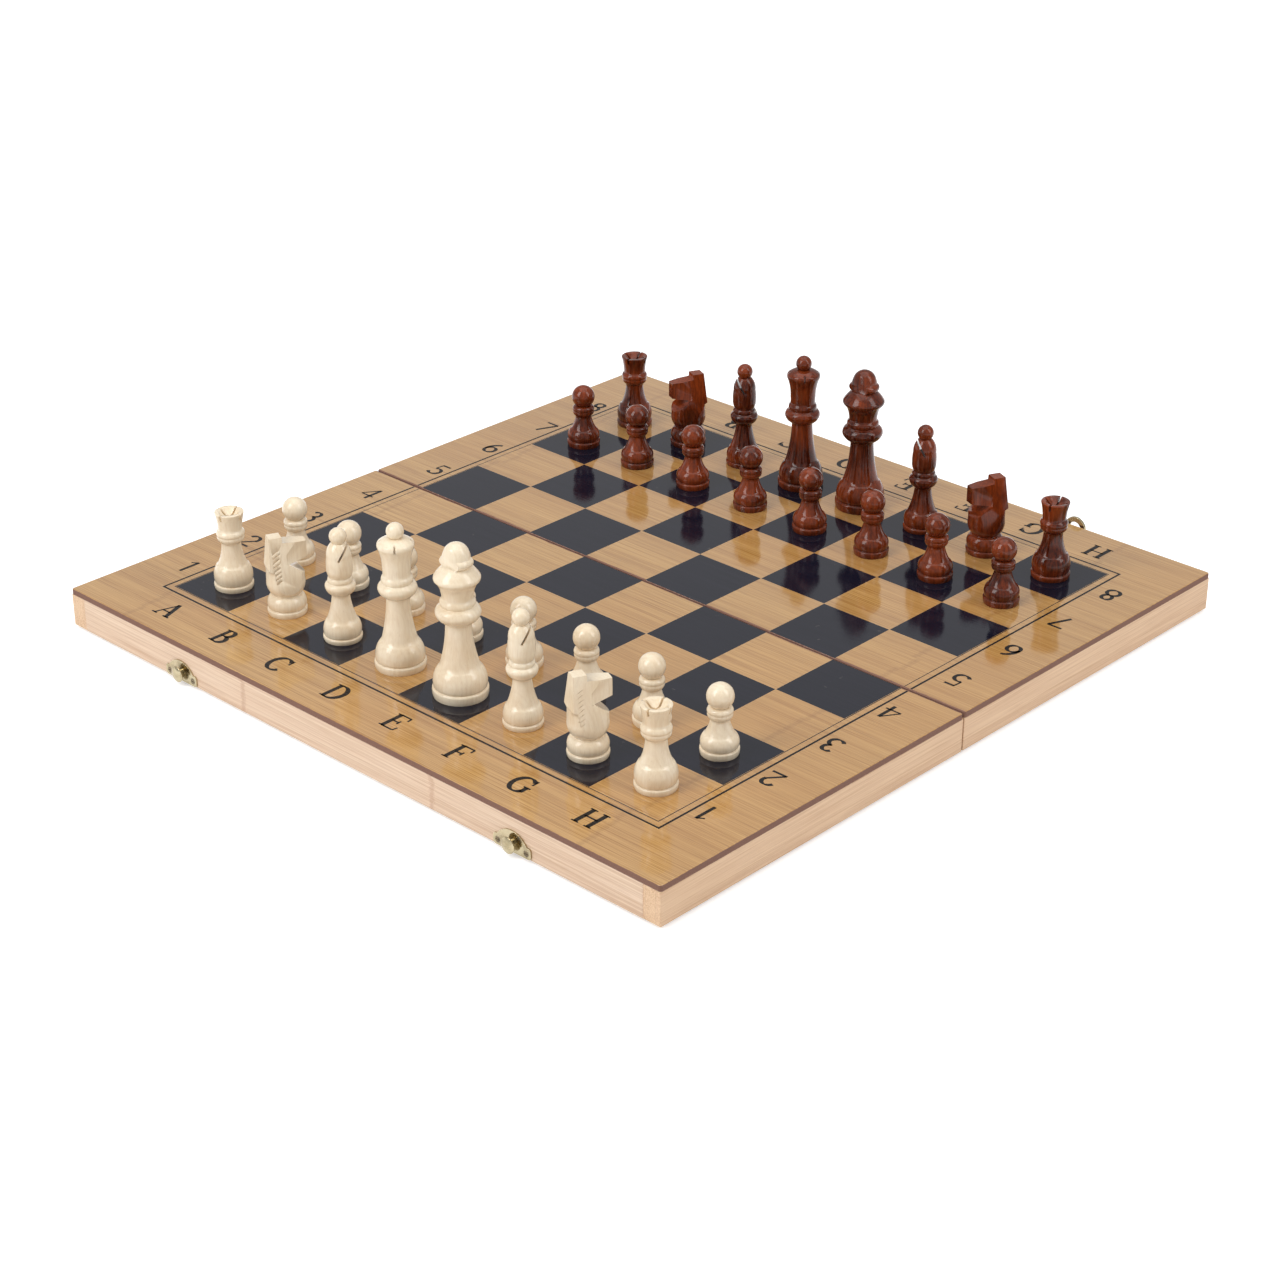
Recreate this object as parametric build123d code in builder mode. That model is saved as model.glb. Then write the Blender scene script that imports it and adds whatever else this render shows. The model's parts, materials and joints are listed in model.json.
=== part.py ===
"""Folding chess box opened flat: two hinged trays with the board on their backs, and thirty-two turned men.

Origin: under the middle of the seam, at the level of the surface the box stands on.
+X runs from file A to file H, +Y from White's side to Black's side, +Z is up. Millimetres.
"""
import os
from typing import NamedTuple

from build123d import *

# Board
SQUARE = 41.0
HALF_RANKS = 4
FILES = 8
SIDE_BORDER = 36.0
END_BORDER = 37.0
SEAM_MARGIN = 0.75
SEAM_GAP = 0.8
PANEL_T = 3.0
PANEL_CORNER = 1.5
PANEL_EASE = 0.6
RAIL_H = 17.0
RAIL_T = 10.0
RAIL_EASE = 0.5

# Veneer inlay of the dark squares and the frame lines
INLAY_T = 0.4
SQUARE_GAP = 0.1
FINE_LINE = 0.5
BOLD_LINE = 1.2
LINE_SPACE = 3.0
LINE_STOP = 1.4

# Butt hinges on the seam
HINGE_X = 122.0
HINGE_L = 36.0
LEAF_W = 8.0
LEAF_T = 0.8
LEAF_SCREW_SPAN = 22.0
KNUCKLE_R = 1.3
PIN_R = 0.6
PIN_FIT = 0.05
KNUCKLE_GAP = 0.3
BARREL_CLEAR = 0.3
MORTISE_CLEAR = 0.1
CLOSE_GAP = 0.2

# Countersunk screws
SCREW_R = 0.8
SCREW_HEAD_R = 1.6
SCREW_L = 8.0
SCREW_POINT = 1.6
SCREW_SLOT_W = 0.4
SCREW_SLOT_DEEP = 0.35
SCREW_FIT = 0.05

# Catches of the near half and swing hooks of the far half
CATCH_X = 113.5
PLATE_W = 23.0
PLATE_H = 10.5
PLATE_T = 0.8
EAR_H = 5.6
EAR_W = 2.4
EAR_ROUND = 1.5
PLATE_LIFT = 0.2
PLATE_SCREW_SPAN = 17.4
PLATE_SCREW_Z = 2.8
STUD_Z = 4.4
STUD_NECK_R = 2.2
STUD_HEAD_R = 4.0
TENON_R = 1.3
TENON_FIT = 0.03
HOOK_PIVOT_Z = 6.8
HOOK_T = 1.4
HOOK_LIFT = 0.35
HOOK_EYE_R = 3.0
HOOK_RING_R = 6.2
HOOK_BORE_R = 3.5
HOOK_ARM_W = 4.2
HOOK_SLOT_CLEAR = 0.6
HOOK_TILT = 18.0
PIVOT_FIT = 0.05
PIVOT_HEAD_R = 2.4
FITTING_REACH = 4.4
FITTING_EDGE = 0.5

# Men: feet, saw cuts and carving
FOOT_EASE = 0.3
ROOK_CUP_R = 5.3
ROOK_CUP_FLOOR_R = 2.6
ROOK_CUP_DEEP = 2.8
ROOK_SLOT_W = 1.1
ROOK_SLOT_DEEP = 3.4
ROOK_TURN = 12.0
QUEEN_SLOTS = 4
QUEEN_SLOT_START = 45.0
QUEEN_SLOT_W = 0.9
QUEEN_SLOT_SINK = 4.9
QUEEN_SLOT_R = 8.8
QUEEN_SLOT_L = 4.0
QUEEN_BALL_R = 4.2
QUEEN_BALL_SINK = 1.2
BISHOP_BALL_R = 4.2
BISHOP_BALL_SINK = 1.2
BISHOP_SLOT_W = 1.0
BISHOP_SLOT_L = 16.0
BISHOP_SLOT_U = 0.2
BISHOP_SLOT_TILT = 60.0
BISHOP_SLOT_DROP = 8.1
BISHOP_TURN = 43.0
PAWN_BALL_R = 6.3
PAWN_BALL_SINK = 1.45
KING_CROSS_T = 9.4
KING_CROSS_H = 11.2
KNIGHT_EAR_U = -1.5
KNIGHT_EAR_H = 2.7
KNIGHT_NOSE_DROP = 1.0
KNIGHT_MUZZLE_U = 10.6
KNIGHT_MUZZLE_H = 8.6
KNIGHT_JAW_U = 1.5
KNIGHT_JAW_DROP = 1.8
KNIGHT_CHEST_DROP = 6.0
KNIGHT_CHEST_U = 9.6
KNIGHT_BACK_TOP_U = 7.8
KNIGHT_BACK_FOOT_U = 9.4
KNIGHT_BACK_FOOT_Z = 16.0
KNIGHT_TOP_T = 6.4
KNIGHT_CHEST_T = 17.0
KNIGHT_CHEST_Z = 12.0
KNIGHT_MUZZLE_T = 5.2
KNIGHT_CHEEK_T = 9.6
KNIGHT_TURN = 25.0


class Stretch(NamedTuple):
    """One stretch of a turned outline: how far it rises, the radius at its top, and how far it bulges out.

    A stretch that rises to radius zero is a round cap.
    """
    rise: float
    radius: float
    bulge: float


KING = (
    Stretch(4.2, 13.1, 0.25),     # base disc
    Stretch(0.3, 12.5, 0.0),      # groove
    Stretch(0.6, 12.5, -0.25),
    Stretch(9.4, 10.1, 1.1),      # bulb
    Stretch(0.25, 9.6, 0.0),
    Stretch(21.75, 6.1, -0.8),    # hollow stem
    Stretch(1.2, 7.0, -0.2),
    Stretch(3.6, 10.5, 0.5),      # collar
    Stretch(4.2, 8.4, 0.9),
    Stretch(0.4, 7.9, 0.0),
    Stretch(2.9, 7.9, 0.45),      # ring
    Stretch(0.4, 7.3, 0.0),
    Stretch(3.5, 7.7, -0.1),      # crown
    Stretch(5.4, 10.4, -0.5),
    Stretch(2.6, 10.4, 0.5),
    Stretch(4.6, 6.2, 0.3),
    Stretch(4.0, 6.6, 1.5),       # cross arms
    Stretch(2.6, 6.0, 0.1),       # cross top
    Stretch(4.6, 0.0, 0.0),
)
QUEEN = (
    Stretch(3.4, 12.2, 0.25),     # base disc
    Stretch(0.3, 11.6, 0.0),      # groove
    Stretch(0.5, 11.6, -0.2),
    Stretch(9.0, 9.3, 1.0),       # bulb
    Stretch(0.25, 8.8, 0.0),
    Stretch(22.0, 5.5, -0.7),     # hollow stem
    Stretch(1.0, 6.2, -0.2),
    Stretch(3.4, 9.2, 0.5),       # collar
    Stretch(3.4, 7.6, 0.7),
    Stretch(0.35, 7.1, 0.0),
    Stretch(2.9, 7.1, 0.4),       # ring
    Stretch(0.35, 6.6, 0.0),
    Stretch(4.0, 6.7, -0.1),      # crown
    Stretch(10.2, 8.5, -0.5),
    Stretch(2.6, 8.4, 0.35),
    Stretch(2.2, 4.2, 0.25),
    Stretch(0.2, 0.0, 0.0),
)
BISHOP = (
    Stretch(2.3, 9.4, 0.2),       # base disc
    Stretch(0.3, 8.9, 0.0),       # groove
    Stretch(0.4, 8.9, -0.15),
    Stretch(7.0, 7.8, 0.75),      # bulb
    Stretch(0.2, 7.4, 0.0),
    Stretch(13.0, 4.3, -0.5),     # hollow stem
    Stretch(0.8, 5.0, -0.15),
    Stretch(3.2, 7.3, 0.4),       # collar
    Stretch(2.6, 6.4, 0.5),
    Stretch(0.3, 5.8, 0.0),
    Stretch(2.2, 5.7, 0.3),       # ring
    Stretch(0.3, 5.2, 0.0),
    Stretch(4.6, 6.3, 0.35),      # mitre
    Stretch(6.0, 6.0, 0.15),
    Stretch(7.0, 3.4, 0.8),
    Stretch(0.2, 0.0, 0.0),
)
ROOK = (
    Stretch(2.6, 9.8, 0.2),       # base disc
    Stretch(0.3, 9.2, 0.0),       # groove
    Stretch(0.4, 9.2, -0.15),
    Stretch(8.9, 8.1, 1.0),       # bulb
    Stretch(0.25, 7.6, 0.0),
    Stretch(11.6, 4.9, -0.7),     # hollow stem
    Stretch(0.8, 5.4, -0.1),
    Stretch(3.2, 6.7, 0.6),       # ring
    Stretch(2.8, 6.3, 0.5),
    Stretch(0.3, 5.9, 0.0),
    Stretch(9.05, 7.2, -0.25),    # tower
    Stretch(0.4, 6.9, 0.1),
    Stretch(0.0, 0.0, 0.0),
)
KNIGHT = (
    Stretch(2.7, 9.7, 0.2),       # base disc
    Stretch(0.3, 9.1, 0.0),       # groove
    Stretch(0.4, 9.1, -0.15),
    Stretch(6.3, 7.9, 1.0),       # bulb
    Stretch(0.4, 7.2, 0.0),
    Stretch(0.6, 7.2, -0.2),      # neck groove
    Stretch(7.2, 9.4, 0.9),       # chest
    Stretch(6.1, 9.3, 0.0),
    Stretch(1.5, 11.6, 0.0),      # blank of the head
    Stretch(14.7, 11.6, 0.0),
    Stretch(0.8, 10.8, 0.2),
    Stretch(0.0, 0.0, 0.0),
)
PAWN = (
    Stretch(3.0, 9.0, 0.2),       # base disc
    Stretch(0.3, 8.4, 0.0),       # groove
    Stretch(0.4, 8.4, -0.15),
    Stretch(5.9, 7.3, 0.9),       # bulb
    Stretch(0.25, 6.9, 0.0),
    Stretch(7.2, 4.3, -0.35),     # hollow stem
    Stretch(0.6, 4.8, -0.1),
    Stretch(2.9, 5.7, 0.5),       # collar
    Stretch(2.6, 4.9, 0.6),
    Stretch(0.3, 0.0, 0.0),
)

# Worked out from the driving sizes
WIDTH = FILES * SQUARE + 2 * SIDE_BORDER
HALF_DEPTH = SEAM_MARGIN + HALF_RANKS * SQUARE + END_BORDER
AXIS_Z = KNUCKLE_R
RIM_Z = AXIS_Z + CLOSE_GAP / 2
RAIL_TOP = RIM_Z + RAIL_H
TOP_Z = RAIL_TOP + PANEL_T
SEAM_Y = SEAM_GAP / 2
HOOK_L = HOOK_PIVOT_Z + STUD_Z + CLOSE_GAP
LEAF_SCREW_Y = (LEAF_W + KNUCKLE_R) / 2
HALVES = (("near", 0), ("far", 180))
CATCHES = (-CATCH_X, CATCH_X)


def outline_height(outline):
    """Full height of a turned outline."""
    return sum(stretch.rise for stretch in outline)


def square_centre(file, rank):
    """Middle of a square; files and ranks count from zero at White's left corner."""
    x = (file - (FILES - 1) / 2) * SQUARE
    steps = rank - HALF_RANKS + 0.5
    seam = SEAM_MARGIN if steps > 0 else -SEAM_MARGIN
    return x, seam + steps * SQUARE


def dark_centres():
    """Middles of the dark squares of the near half; the far half is the same half turned round."""
    return [square_centre(f, r) for f in range(FILES) for r in range(HALF_RANKS) if (f + r) % 2 == 0]


def outer_face(turn):
    """Plane on a half's outer rail: x to the right seen from outside, y up from the ground, z outward."""
    out = Vector(0, -1, 0).rotate(Axis.Z, turn)
    return Plane(origin=out * HALF_DEPTH, x_dir=Vector(1, 0, 0).rotate(Axis.Z, turn), z_dir=out)


def spots(plane, points):
    """Locations of points (x, y) on a plane."""
    return [plane.location * Location((x, y, 0)) for x, y in points]


def hinge_screw_points():
    """Screw places of one half's two hinge leaves, in plan, on the near side of the seam."""
    spans = (-LEAF_SCREW_SPAN / 2, LEAF_SCREW_SPAN / 2)
    return [(hinge + span, -LEAF_SCREW_Y) for hinge in (-HINGE_X, HINGE_X) for span in spans]


def rim_spots(turn):
    """Hinge screw places on a half's rim, facing down."""
    rim = Plane.XY.rotated((0, 0, turn)).offset(RIM_Z)
    return [spot * Location((0, 0, 0), (180, 0, 0)) for spot in spots(rim, hinge_screw_points())]


def plate_screw_points():
    """Screw places of the two fitting plates of one half, on the outer face."""
    spans = (-PLATE_SCREW_SPAN / 2, PLATE_SCREW_SPAN / 2)
    return [(x + span, RIM_Z + PLATE_SCREW_Z) for x in CATCHES for span in spans]


def checker_sketch(plane):
    """The sixteen dark squares of a half."""
    with BuildSketch(plane) as squares:
        with Locations(*dark_centres()):
            Rectangle(SQUARE - 2 * SQUARE_GAP, SQUARE - 2 * SQUARE_GAP)
    return squares.sketch


def frame_line_sketch(plane):
    """The fine and the bold frame line of a half: three sides of a rectangle, open at the seam."""
    fine_inset = SQUARE_GAP
    bold_inset = fine_inset + FINE_LINE + LINE_SPACE
    seam_end = (0, -LINE_STOP)
    with BuildSketch(plane) as lines:
        for inset, width in ((bold_inset, BOLD_LINE), (fine_inset, FINE_LINE)):
            half_width = FILES * SQUARE / 2 + inset
            depth = SEAM_MARGIN + HALF_RANKS * SQUARE + inset - LINE_STOP
            with Locations(seam_end):
                Rectangle(2 * (half_width + width), depth + width, align=(Align.CENTER, Align.MAX))
                Rectangle(2 * half_width, depth, align=(Align.CENTER, Align.MAX), mode=Mode.SUBTRACT)
    return lines.sketch


def turned(outline):
    """Solid turned about Z from an outline of stretches stacked upward from an eased foot."""
    foot = Vector(outline[0].radius - FOOT_EASE, 0)
    with BuildPart() as blank:
        with BuildSketch(Plane.XZ):
            with BuildLine():
                Line((0, 0), foot)
                start = foot
                for stretch in outline:
                    end = Vector(stretch.radius, start.Y + stretch.rise)
                    if stretch.rise and not stretch.radius:
                        TangentArc(end, start, tangent=(1, 0))
                    elif stretch.bulge:
                        SagittaArc(start, end, -stretch.bulge)
                    else:
                        Line(start, end)
                    start = end
                Line((0, outline_height(outline)), (0, 0))
            make_face()
        revolve(axis=Axis.Z)
    return blank.part


os.makedirs("parts", exist_ok=True)

# Tray halves
for half, turn in HALVES:
    plan = Plane.XY.rotated((0, 0, turn))
    face = outer_face(turn)

    with BuildPart() as panel:
        with BuildSketch(plan.offset(RAIL_TOP)):
            with Locations((0, -SEAM_Y)):
                Rectangle(WIDTH, HALF_DEPTH - SEAM_Y, align=(Align.CENTER, Align.MAX))
        extrude(amount=PANEL_T)
        fillet(panel.edges().filter_by(Axis.Z), PANEL_CORNER)
        fillet(panel.faces().sort_by(Axis.Z)[-1].edges(), PANEL_EASE)
        add(checker_sketch(plan.offset(TOP_Z)))
        add(frame_line_sketch(plan.offset(TOP_Z)))
        extrude(amount=-INLAY_T, mode=Mode.SUBTRACT)
    panel.part.label = f"{half}_panel"
    export_step(panel.part, f"parts/{half}_panel.step")

    with BuildPart() as dark_squares:
        add(checker_sketch(plan.offset(TOP_Z)))
        extrude(amount=-INLAY_T)
    dark_squares.part.label = f"{half}_dark_squares"
    export_step(dark_squares.part, f"parts/{half}_dark_squares.step")

    with BuildPart() as border_lines:
        add(frame_line_sketch(plan.offset(TOP_Z)))
        extrude(amount=-INLAY_T)
    border_lines.part.label = f"{half}_border_lines"
    export_step(border_lines.part, f"parts/{half}_border_lines.step")

    for side, reach in (("left", -1), ("right", 1)):
        local_reach = reach if half == "near" else -reach
        with BuildPart() as side_rail:
            with BuildSketch(plan.offset(RIM_Z)):
                with Locations((local_reach * (WIDTH - RAIL_T) / 2, -SEAM_Y)):
                    Rectangle(RAIL_T, HALF_DEPTH - SEAM_Y, align=(Align.CENTER, Align.MAX))
            extrude(amount=RAIL_H)
            outer_side = side_rail.faces().sort_by(Axis.X)[-1 if reach > 0 else 0]
            fillet(outer_side.edges().filter_by(Axis.Z), RAIL_EASE)
        side_rail.part.label = f"{half}_{side}_rail"
        export_step(side_rail.part, f"parts/{half}_{side}_rail.step")

    with BuildPart() as outer_rail:
        with BuildSketch(plan.offset(RIM_Z)):
            with Locations((0, -HALF_DEPTH)):
                Rectangle(WIDTH - 2 * RAIL_T, RAIL_T, align=(Align.CENTER, Align.MIN))
        extrude(amount=RAIL_H)
        with BuildSketch(face):
            with Locations(*plate_screw_points()):
                Circle(SCREW_R + SCREW_FIT)
        extrude(amount=-SCREW_L, mode=Mode.SUBTRACT)
    outer_rail.part.label = f"{half}_outer_rail"
    export_step(outer_rail.part, f"parts/{half}_outer_rail.step")

    with BuildPart() as seam_rail:
        with BuildSketch(plan.offset(RIM_Z)):
            with Locations((0, -SEAM_Y)):
                Rectangle(WIDTH - 2 * RAIL_T, RAIL_T, align=(Align.CENTER, Align.MAX))
        extrude(amount=RAIL_H)
        with BuildSketch(plan.offset(RIM_Z)):
            with Locations((-HINGE_X, 0), (HINGE_X, 0)):
                Rectangle(
                    HINGE_L + 2 * MORTISE_CLEAR, LEAF_W + MORTISE_CLEAR, align=(Align.CENTER, Align.MAX)
                )
        extrude(amount=LEAF_T, mode=Mode.SUBTRACT)
        with BuildSketch(plan.offset(RIM_Z)):
            with Locations(*hinge_screw_points()):
                Circle(SCREW_R + SCREW_FIT)
        extrude(amount=SCREW_L + SCREW_FIT, mode=Mode.SUBTRACT)
        for hinge in (-HINGE_X, HINGE_X):
            with BuildSketch(Plane.YZ.offset(hinge)):
                with Locations((0, AXIS_Z)):
                    Circle(KNUCKLE_R + BARREL_CLEAR)
            extrude(amount=HINGE_L / 2 + MORTISE_CLEAR, both=True, mode=Mode.SUBTRACT)
    seam_rail.part.label = f"{half}_seam_rail"
    export_step(seam_rail.part, f"parts/{half}_seam_rail.step")

# Hinges: the near leaves carry the two end knuckles, the far leaves the middle one
KNUCKLE_L = HINGE_L / 3
END_KNUCKLES = (-KNUCKLE_L, KNUCKLE_L)
for half, turn in HALVES:
    plan = Plane.XY.rotated((0, 0, turn))
    own, other = ((END_KNUCKLES, (0,)) if half == "near" else ((0,), END_KNUCKLES))
    with BuildPart() as hinge_leaves:
        with BuildSketch(plan.offset(RIM_Z)):
            with Locations((-HINGE_X, -PIN_R - PIN_FIT), (HINGE_X, -PIN_R - PIN_FIT)):
                Rectangle(HINGE_L, LEAF_W - PIN_R - PIN_FIT, align=(Align.CENTER, Align.MAX))
        extrude(amount=LEAF_T)
        for hinge in (-HINGE_X, HINGE_X):
            for step in other:
                with BuildSketch(Plane.YZ.offset(hinge + step)):
                    with Locations((0, AXIS_Z)):
                        Circle(KNUCKLE_R + BARREL_CLEAR)
                extrude(amount=(KNUCKLE_L + KNUCKLE_GAP) / 2, both=True, mode=Mode.SUBTRACT)
            for step in own:
                with BuildSketch(Plane.YZ.offset(hinge + step)):
                    with Locations((0, AXIS_Z)):
                        Circle(KNUCKLE_R)
                extrude(amount=(KNUCKLE_L - KNUCKLE_GAP) / 2, both=True)
            with BuildSketch(Plane.YZ.offset(hinge)):
                with Locations((0, AXIS_Z)):
                    Circle(PIN_R + PIN_FIT)
            extrude(amount=HINGE_L, both=True, mode=Mode.SUBTRACT)
        with Locations(*rim_spots(turn)):
            CounterSinkHole(
                SCREW_R + SCREW_FIT, SCREW_HEAD_R + SCREW_FIT, depth=2 * LEAF_T, counter_sink_angle=90
            )
    hinge_leaves.part.label = f"{half}_hinge_leaves"
    export_step(hinge_leaves.part, f"parts/{half}_hinge_leaves.step")

with BuildPart() as hinge_pins:
    for hinge in (-HINGE_X, HINGE_X):
        with BuildSketch(Plane.YZ.offset(hinge)):
            with Locations((0, AXIS_Z)):
                Circle(PIN_R)
        extrude(amount=HINGE_L / 2 - KNUCKLE_GAP, both=True)
hinge_pins.part.label = "hinge_pins"
export_step(hinge_pins.part, "parts/hinge_pins.step")

# One slotted countersunk screw, head up at the origin
with BuildPart() as screw:
    with BuildSketch(Plane.XZ):
        with BuildLine():
            Polyline(
                (0, 0),
                (SCREW_HEAD_R, 0),
                (SCREW_R, SCREW_R - SCREW_HEAD_R),
                (SCREW_R, SCREW_POINT - SCREW_L),
                (0, -SCREW_L),
                close=True,
            )
        make_face()
    revolve(axis=Axis.Z)
    with BuildSketch():
        Rectangle(2 * (SCREW_HEAD_R + SCREW_SLOT_W), SCREW_SLOT_W)
    extrude(amount=-SCREW_SLOT_DEEP, mode=Mode.SUBTRACT)

for half, turn in HALVES:
    with BuildPart() as hinge_screws:
        with Locations(*rim_spots(turn)):
            add(screw.part)
    hinge_screws.part.label = f"{half}_hinge_screws"
    export_step(hinge_screws.part, f"parts/{half}_hinge_screws.step")

# Plates: an arch between two screw ears, flush with the rim
for name, turn, tenon_z in (("catch_plates", 0, STUD_Z), ("hook_plates", 180, HOOK_PIVOT_Z)):
    face = outer_face(turn)
    arch_foot = PLATE_W / 2 - EAR_W
    bottom = RIM_Z + PLATE_LIFT
    with BuildPart() as plates:
        for x in CATCHES:
            with BuildSketch(face) as plate_outline:
                with BuildLine():
                    Polyline(
                        (x - arch_foot, bottom + EAR_H),
                        (x - PLATE_W / 2, bottom + EAR_H),
                        (x - PLATE_W / 2, bottom),
                        (x + PLATE_W / 2, bottom),
                        (x + PLATE_W / 2, bottom + EAR_H),
                        (x + arch_foot, bottom + EAR_H),
                    )
                    ThreePointArc(
                        (x + arch_foot, bottom + EAR_H), (x, bottom + PLATE_H), (x - arch_foot, bottom + EAR_H)
                    )
                make_face()
                ears = plate_outline.vertices().group_by(Axis.X)
                fillet(ears[0] + ears[-1], EAR_ROUND)
                with Locations((x, RIM_Z + tenon_z)):
                    Circle(TENON_R + TENON_FIT, mode=Mode.SUBTRACT)
            extrude(amount=PLATE_T)
        with Locations(*spots(face.offset(PLATE_T), plate_screw_points())):
            CounterSinkHole(
                SCREW_R + SCREW_FIT, SCREW_HEAD_R + SCREW_FIT, depth=2 * PLATE_T, counter_sink_angle=90
            )
    plates.part.label = name
    export_step(plates.part, f"parts/{name}.step")

for name, turn in (("catch_screws", 0), ("hook_screws", 180)):
    with BuildPart() as plate_screws:
        with Locations(*spots(outer_face(turn).offset(PLATE_T), plate_screw_points())):
            add(screw.part)
    plate_screws.part.label = name
    export_step(plate_screws.part, f"parts/{name}.step")

# Catch studs: a tenon in the plate, a neck for the hook and a domed head
HEAD_BACK = PLATE_T + 2 * HOOK_LIFT + HOOK_T
with BuildPart() as stud:
    with BuildSketch(Plane.XZ):
        with BuildLine():
            Polyline(
                (0, 0),
                (TENON_R, 0),
                (TENON_R, PLATE_T),
                (STUD_NECK_R, PLATE_T),
                (STUD_NECK_R, HEAD_BACK),
                (STUD_HEAD_R, HEAD_BACK),
                (STUD_HEAD_R, HEAD_BACK + FITTING_EDGE),
            )
            TangentArc((0, FITTING_REACH), (STUD_HEAD_R, HEAD_BACK + FITTING_EDGE), tangent=(1, 0))
            Line((0, FITTING_REACH), (0, 0))
        make_face()
    revolve(axis=Axis.Z)
with BuildPart() as catch_studs:
    with Locations(*spots(outer_face(0), [(x, RIM_Z + STUD_Z) for x in CATCHES])):
        add(stud.part)
catch_studs.part.label = "catch_studs"
export_step(catch_studs.part, "parts/catch_studs.step")

# Hook pivots: headed rivets through the hook and the plate
PIVOT_BACK = PLATE_T + HOOK_LIFT + HOOK_T + HOOK_LIFT / 2
with BuildPart() as pivot:
    with BuildSketch(Plane.XZ):
        with BuildLine():
            Polyline(
                (0, 0),
                (TENON_R, 0),
                (TENON_R, PIVOT_BACK),
                (PIVOT_HEAD_R, PIVOT_BACK),
                (PIVOT_HEAD_R, PIVOT_BACK + FITTING_EDGE),
            )
            TangentArc((0, FITTING_REACH), (PIVOT_HEAD_R, PIVOT_BACK + FITTING_EDGE), tangent=(1, 0))
            Line((0, FITTING_REACH), (0, 0))
        make_face()
    revolve(axis=Axis.Z)
with BuildPart() as hook_pivots:
    with Locations(*spots(outer_face(180), [(x, RIM_Z + HOOK_PIVOT_Z) for x in CATCHES])):
        add(pivot.part)
hook_pivots.part.label = "hook_pivots"
export_step(hook_pivots.part, "parts/hook_pivots.step")

# Swing hooks: an eye, a short arm and a ring whose mouth is cut on the pivot's arc, so it sweeps over the stud neck
SLOT_HALF = STUD_NECK_R + HOOK_SLOT_CLEAR
hook_plane = outer_face(180).offset(PLATE_T + HOOK_LIFT)
for name, x in (("left_hook", CATCH_X), ("right_hook", -CATCH_X)):
    pivot_plane = Plane(
        origin=hook_plane.from_local_coords((x, RIM_Z + HOOK_PIVOT_Z, 0)),
        x_dir=hook_plane.x_dir.rotate(Axis((0, 0, 0), hook_plane.z_dir), HOOK_TILT),
        z_dir=hook_plane.z_dir,
    )
    with BuildPart() as hook:
        with BuildSketch(pivot_plane):
            Circle(HOOK_EYE_R)
            with Locations((0, HOOK_L / 2)):
                Rectangle(HOOK_ARM_W, HOOK_L)
            with Locations((0, HOOK_L)):
                Circle(HOOK_RING_R)
                Circle(HOOK_BORE_R, mode=Mode.SUBTRACT)
            Circle(TENON_R + PIVOT_FIT, mode=Mode.SUBTRACT)
        extrude(amount=HOOK_T)
        with BuildSketch(pivot_plane):
            Circle(HOOK_L + SLOT_HALF)
            Circle(HOOK_L - SLOT_HALF, mode=Mode.SUBTRACT)
            with Locations((0, HOOK_L)):
                Rectangle(
                    2 * HOOK_RING_R, 2 * HOOK_L, align=(Align.MAX, Align.CENTER), mode=Mode.INTERSECT
                )
        extrude(amount=HOOK_T, mode=Mode.SUBTRACT)
    hook.part.label = name
    export_step(hook.part, f"parts/{name}.step")

# Men, each made once on the axis, facing +X where it has a face
with BuildPart() as king:
    add(turned(KING))
    with BuildSketch(Plane.XY.offset(outline_height(KING) - KING_CROSS_H)):
        for side in (-1, 1):
            with Locations((0, side * (KING_CROSS_T + KING_CROSS_H) / 2)):
                Rectangle(2 * KING_CROSS_H, KING_CROSS_H)
    extrude(amount=KING_CROSS_H, mode=Mode.SUBTRACT)

with BuildPart() as queen:
    add(turned(QUEEN))
    with BuildSketch(Plane.XY.offset(outline_height(QUEEN) - QUEEN_SLOT_SINK)):
        with PolarLocations(QUEEN_SLOT_R, QUEEN_SLOTS, start_angle=QUEEN_SLOT_START):
            Rectangle(QUEEN_SLOT_L, QUEEN_SLOT_W)
    extrude(amount=QUEEN_SLOT_SINK, mode=Mode.SUBTRACT)
    with Locations((0, 0, outline_height(QUEEN) + QUEEN_BALL_R - QUEEN_BALL_SINK)):
        Sphere(QUEEN_BALL_R)

with BuildPart() as bishop:
    add(turned(BISHOP))
    with Locations((0, 0, outline_height(BISHOP) + BISHOP_BALL_R - BISHOP_BALL_SINK)):
        Sphere(BISHOP_BALL_R)
    with BuildSketch(Plane.XZ):
        with Locations((BISHOP_SLOT_U, outline_height(BISHOP) - BISHOP_SLOT_DROP)):
            Rectangle(
                BISHOP_SLOT_L, BISHOP_SLOT_W, rotation=BISHOP_SLOT_TILT, align=(Align.MIN, Align.CENTER)
            )
    extrude(amount=BISHOP_SLOT_L / 2, both=True, mode=Mode.SUBTRACT)

with BuildPart() as rook:
    add(turned(ROOK))
    rook_top = outline_height(ROOK)
    with BuildSketch(Plane.XZ):
        with BuildLine():
            Polyline(
                (0, rook_top),
                (ROOK_CUP_R, rook_top),
                (ROOK_CUP_FLOOR_R, rook_top - ROOK_CUP_DEEP),
                (0, rook_top - ROOK_CUP_DEEP),
                close=True,
            )
        make_face()
    revolve(axis=Axis.Z, mode=Mode.SUBTRACT)
    with BuildSketch(Plane.XY.offset(rook_top)):
        for quarter in (0, 90):
            Rectangle(2 * ROOK[0].radius, ROOK_SLOT_W, rotation=ROOK_TURN + quarter)
    extrude(amount=-ROOK_SLOT_DEEP, mode=Mode.SUBTRACT)

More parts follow.
